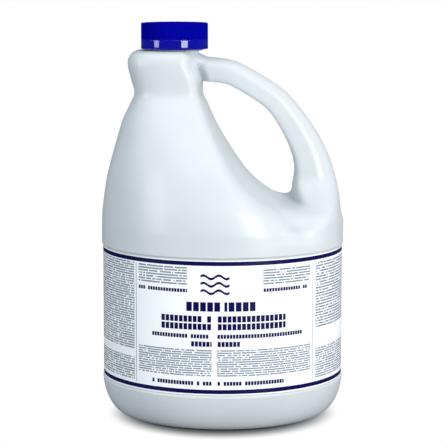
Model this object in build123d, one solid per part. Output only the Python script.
"""Bleach bottle: a round blow-moulded jug with an offset neck and a through handle, its wrap label,
a ribbed screw cap and the foam liner in the cap.

The origin is the middle of the foot ring on the floor, +Z up, the front faces -Y and the handle is on +X.
"""
import os
from math import cos, pi, radians, sin, tan

from build123d import *

# Round body
body_radius = 78.0
foot_radius = 63.5
foot_ring = 2.5
heel_height = 27.5
push_up = 5.0
push_up_step = 3.0
push_up_slope = 4.0
shoulder_height = 123.0
wall = 1.0

# Recessed label panel
panel_depth = 0.9
panel_low = 23.8
panel_to_shoulder = 13.6
panel_ramp = 0.8
seat_above_panel = 1.0
label_thickness = 0.15
label_clearance = 0.03
label_margin = 0.8

# Neck block, whose axis stands off the body's axis away from the handle
neck_offset = 30.7
waist_height = 206.7
waist_half_width = 26.3
waist_half_depth = 25.4
waist_reach = 56.5
block_flare = 18.8
block_crown = 8.0
block_half_width = 27.3
block_half_depth = 27.0
block_reach = 60.6
block_rounding = 7.5
block_squareness = 3.0

# Finish: the threaded mouth
finish_radius = 17.4
bore_radius = 15.4
finish_height = 15.0

# Grip wall, which cuts the cone away beside the handle
grip_wall_reach = -12.2
grip_wall_top_reach = -12.0
grip_draft = 5.5
waist_draft = 9.0
block_draft = 24.0

# Handle tube
handle_half_width_top = 8.2
handle_half_width_foot = 17.0
handle_half_depth_top = 11.0
handle_half_depth_foot = 18.0
handle_squareness = 2.8

# Cap and liner
cap_radius = 21.45
cap_gap = 0.9
cap_top_wall = 1.5
cap_wall = 1.6
cap_bevel = 0.7
rib_count = 80
rib_depth = 0.35
rib_width = 0.9
rib_share = 0.64
liner_thickness = 1.0
liner_clearance = 0.15

# The body between the shoulder and the waist: rise above the shoulder, then the left reach, the girth and
# the grip wall's reach, each as a share of the way from the neck's size to the body's
CONE = [
    (-0.078, 1.000, 1.000, 1.100),
    (-0.042, 1.000, 1.000, 0.960),
    (0.000, 0.998, 1.000, 0.870),
    (0.035, 0.993, 0.995, 0.790),
    (0.100, 0.975, 0.980, 0.685),
    (0.170, 0.945, 0.955, 0.590),
    (0.250, 0.903, 0.905, 0.480),
    (0.340, 0.845, 0.835, 0.372),
    (0.430, 0.763, 0.750, 0.295),
    (0.615, 0.563, 0.520, 0.177),
    (0.800, 0.340, 0.275, 0.080),
    (0.908, 0.140, 0.117, 0.037),
    (1.000, 0.000, 0.000, 0.000),
]
# The handle's centre line from the neck to the body: reach and rise as shares, then thickness growth
HANDLE_LINE = [
    (-0.075, 0.893, 0.00),
    (0.135, 0.882, 0.00),
    (0.267, 0.844, 0.00),
    (0.443, 0.757, 0.02),
    (0.568, 0.664, 0.08),
    (0.688, 0.516, 0.22),
    (0.760, 0.387, 0.38),
    (0.797, 0.255, 0.58),
    (0.808, 0.113, 0.80),
    (0.801, -0.010, 0.96),
    (0.795, -0.110, 1.00),
]
OVAL_POINTS = 32
TURN = [2 * pi * i / OVAL_POINTS for i in range(OVAL_POINTS)]
RIDGE_POWER = 8
ROUND_SQUARENESS = 2.0
# Round sections at the seat of the upper body and the step between them
SEAT_DISCS = 3
SEAT_STEP = 1.3
# A section between the waist and the block's widest: share of the rise, of the girth and of the wall's reach
BLOCK_MID = (0.5, 0.55, 0.3)
# Steps of the quarter round at the top of the neck block, in degrees
BLOCK_RIM = [0, 30, 55, 75, 87]
# Places on the elliptical heel, as shares of its height
HEEL_LEVELS = [0.45, 0.15]

panel_radius = body_radius - panel_depth
panel_high = shoulder_height - panel_to_shoulder
push_up_radius = foot_radius - foot_ring - push_up_slope
block_widest = waist_height + block_flare
block_top = block_widest + block_crown
cone_rise = waist_height - shoulder_height
wall_span = body_radius - grip_wall_reach
handle_rise = block_top - shoulder_height
finish_top = block_top + finish_height
liner_top = finish_top + liner_thickness
cap_bottom = block_top + cap_gap
cap_top = liner_top + cap_top_wall
cap_bore = cap_radius - cap_wall
tube_seat = panel_high + panel_ramp + seat_above_panel


def loop(plane, points):
    """A closed smooth face through points given in a plane's own x and y.

    Its points sit at even parameters, so that a loft through many such loops stays a light surface.
    """
    places = [plane.from_local_coords((x, y, 0)) for x, y in points]
    steps = [i / len(points) for i in range(len(points) + 1)]
    return Face(Wire([Edge.make_spline(places, periodic=True, parameters=steps)]))


def oval_radius(angle, half_x, half_y, squareness):
    """How far a superellipse reaches from its centre in a direction."""
    return (abs(cos(angle) / half_x) ** squareness + abs(sin(angle) / half_y) ** squareness) ** (-1 / squareness)


def oval(plane, half_x, half_y, squareness):
    """A closed superellipse face in a plane."""
    radii = [(a, oval_radius(a, half_x, half_y, squareness)) for a in TURN]
    return loop(plane, [(r * cos(a), r * sin(a)) for a, r in radii])


def cone_section(height, reach, half_width, half_depth, wall_reach, draft, squareness, inset):
    """A level section of the upper body: an oval whose handle side is cut by the drafted grip wall.

    In each direction from the oval's centre the section reaches as far as the nearer of the oval and the
    wall, and the two are blended by a power mean, which rounds the ridge between them.
    """
    centre = half_width - reach
    wall_gap = wall_reach - inset - centre
    points = []
    for angle in TURN:
        radius = oval_radius(angle, half_width - inset, half_depth - inset, squareness)
        facing = cos(angle) + draft * abs(sin(angle))
        if facing > 0:
            radius = (radius**-RIDGE_POWER + (facing / wall_gap) ** RIDGE_POWER) ** (-1 / RIDGE_POWER)
        points.append((centre + radius * cos(angle), radius * sin(angle)))
    return loop(Plane((0, 0, height)), points)


def disc(radius, height):
    """A round face at a height on the body's axis."""
    return Face(Wire.make_circle(radius, Plane((0, 0, height))))


def share(fraction, neck_size, body_size):
    """A size part of the way from the neck's to the body's."""
    return neck_size + fraction * (body_size - neck_size)


def cone_sections(inset):
    """Level sections from the round shoulder up through the waist to the top of the neck block."""
    sections = [disc(body_radius - inset, tube_seat + i * SEAT_STEP) for i in range(SEAT_DISCS)]
    for i, (rise, reach_share, girth, wall_share) in enumerate(CONE):
        below, above = CONE[max(i - 1, 0)], CONE[min(i + 1, len(CONE) - 1)]
        lean = (above[3] - below[3]) * wall_span / ((above[0] - below[0]) * cone_rise)
        sections.append(
            cone_section(
                shoulder_height + rise * cone_rise,
                share(reach_share, waist_reach, body_radius),
                share(girth, waist_half_width, body_radius),
                share(girth, waist_half_depth, body_radius),
                share(wall_share, grip_wall_reach, body_radius),
                tan(radians(share(rise**4, grip_draft, waist_draft))) * (1 + lean**2) ** 0.5,
                share(rise**3, ROUND_SQUARENESS, block_squareness),
                inset,
            )
        )
    mid_rise, mid_growth, mid_wall = BLOCK_MID
    block = [(share(mid_rise, waist_height, block_widest), mid_growth, mid_wall, 0.0)]
    for tilt in BLOCK_RIM:
        drop = block_rounding * (1 - sin(radians(tilt)))
        block.append((block_top - inset - drop, 1.0, 1.0, block_rounding * (1 - cos(radians(tilt)))))
    for height, growth, wall_growth, trim in block:
        sections.append(
            cone_section(
                height,
                share(growth, waist_reach, block_reach),
                share(growth, waist_half_width, block_half_width),
                share(growth, waist_half_depth, block_half_depth),
                share(wall_growth, grip_wall_reach, grip_wall_top_reach),
                tan(radians(share(growth**2, waist_draft, block_draft))),
                block_squareness,
                inset + trim,
            )
        )
    return sections


def cone(inset):
    """The upper body, lofted through its sections."""
    return Solid.make_loft([s.outer_wire() for s in cone_sections(inset)])


def handle_sections(inset):
    """Superellipses square to the handle's centre line, growing from the neck to the body."""
    line = []
    for reach, rise, growth in HANDLE_LINE:
        x = grip_wall_reach + reach * wall_span
        line.append((Vector(x, 0, shoulder_height + rise * handle_rise), growth))
    sections = []
    for i, (point, growth) in enumerate(line):
        along = line[min(i + 1, len(line) - 1)][0] - line[max(i - 1, 0)][0]
        half_width = share(growth, handle_half_width_top, handle_half_width_foot)
        half_depth = share(growth, handle_half_depth_top, handle_half_depth_foot)
        plane = Plane(origin=point, x_dir=(0, 1, 0), z_dir=along)
        sections.append(oval(plane, half_depth - inset, half_width - inset, handle_squareness))
    return sections


def handle(inset):
    """The handle tube, lofted through its sections, with both ends inside the body."""
    return Solid.make_loft([s.outer_wire() for s in handle_sections(inset)])


def lower_body(inset):
    """The round body from the foot ring up to the tube seat, with the heel and the label panel."""
    radius, panel = body_radius - inset, panel_radius - inset
    foot, floor_z = foot_radius - inset, inset
    heel = heel_height - floor_z

    def heel_point(level):
        return foot + (radius - foot) * (1 - (1 - level) ** 2) ** 0.5, floor_z + level * heel

    with BuildPart() as lower:
        with BuildSketch(Plane.XZ):
            with BuildLine():
                top = Line((0, tube_seat), (radius, tube_seat))
                wall_top = Line(top @ 1, (radius, panel_high + panel_ramp))
                step_top = Line(wall_top @ 1, (panel, panel_high))
                side = Line(step_top @ 1, (panel, panel_low))
                step_low = Line(side @ 1, heel_point((panel_low - panel_ramp - floor_z) / heel))
                curve = Spline(
                    [step_low @ 1, *[heel_point(level) for level in HEEL_LEVELS], heel_point(0)],
                    tangents=[(-0.1, -1), (-1, 0)],
                )
                ring = Line(curve @ 1, (foot - foot_ring, floor_z))
                rise = Line(ring @ 1, (push_up_radius - inset, floor_z + push_up_step))
                dome = Spline([rise @ 1, (0, floor_z + push_up)], tangents=[(-1, 0.2), (-1, 0)])
                Line(dome @ 1, top @ 0)
            make_face()
        revolve(axis=Axis.Z)
    return lower.part.solid()


def shell_form(inset):
    """The bottle's form up to the top of the neck block, moved inwards by inset."""
    return (lower_body(inset) + cone(inset) + handle(inset)).solid()


def post(radius, low, high):
    """A round post on the neck's axis."""
    return Pos(-neck_offset, 0, low) * Cylinder(radius, high - low, align=(Align.CENTER, Align.CENTER, Align.MIN))


def make_bottle():
    """The blown shell: its outer form less the same form a wall's thickness smaller, with the mouth."""
    neck_low = block_top - block_rounding
    outer = shell_form(0) + post(finish_radius, neck_low, finish_top)
    inner = shell_form(wall) + post(bore_radius, neck_low - 2 * wall, finish_top + wall)
    return (outer - inner).solid()


def make_label():
    """The wrap label: a thin sleeve round the recessed panel."""
    low, high = panel_low + label_margin, panel_high - label_margin
    inner = panel_radius + label_clearance
    with BuildPart() as sleeve:
        with BuildSketch(Plane.XY.offset(low)):
            Circle(inner + label_thickness)
            Circle(inner, mode=Mode.SUBTRACT)
        extrude(amount=high - low)
    return sleeve.part.solid()


def make_cap():
    """The screw cap: a bevelled drum, ribbed on its upper part, open below."""
    drum = post(cap_radius, cap_bottom, cap_top)
    drum = chamfer(drum.edges().group_by(Axis.Z)[-1], cap_bevel)
    drum -= post(cap_bore, cap_bottom - 1, liner_top)
    rib_low = cap_top - rib_share * (cap_top - cap_bottom)
    groove = Pos(0, 0, rib_low) * Box(
        2 * rib_depth, rib_width, cap_top, align=(Align.CENTER, Align.CENTER, Align.MIN)
    )
    grooves = [Pos(-neck_offset, 0, 0) * place * groove for place in PolarLocations(cap_radius, rib_count)]
    return (drum - grooves).solid()


def make_liner():
    """The foam disc that lies between the cap's top and the mouth of the bottle."""
    return post(cap_bore - liner_clearance, finish_top, liner_top).solid()


os.makedirs("parts", exist_ok=True)
export_step(make_bottle(), "parts/bottle.step")
export_step(make_label(), "parts/label.step")
export_step(make_cap(), "parts/cap.step")
export_step(make_liner(), "parts/liner.step")
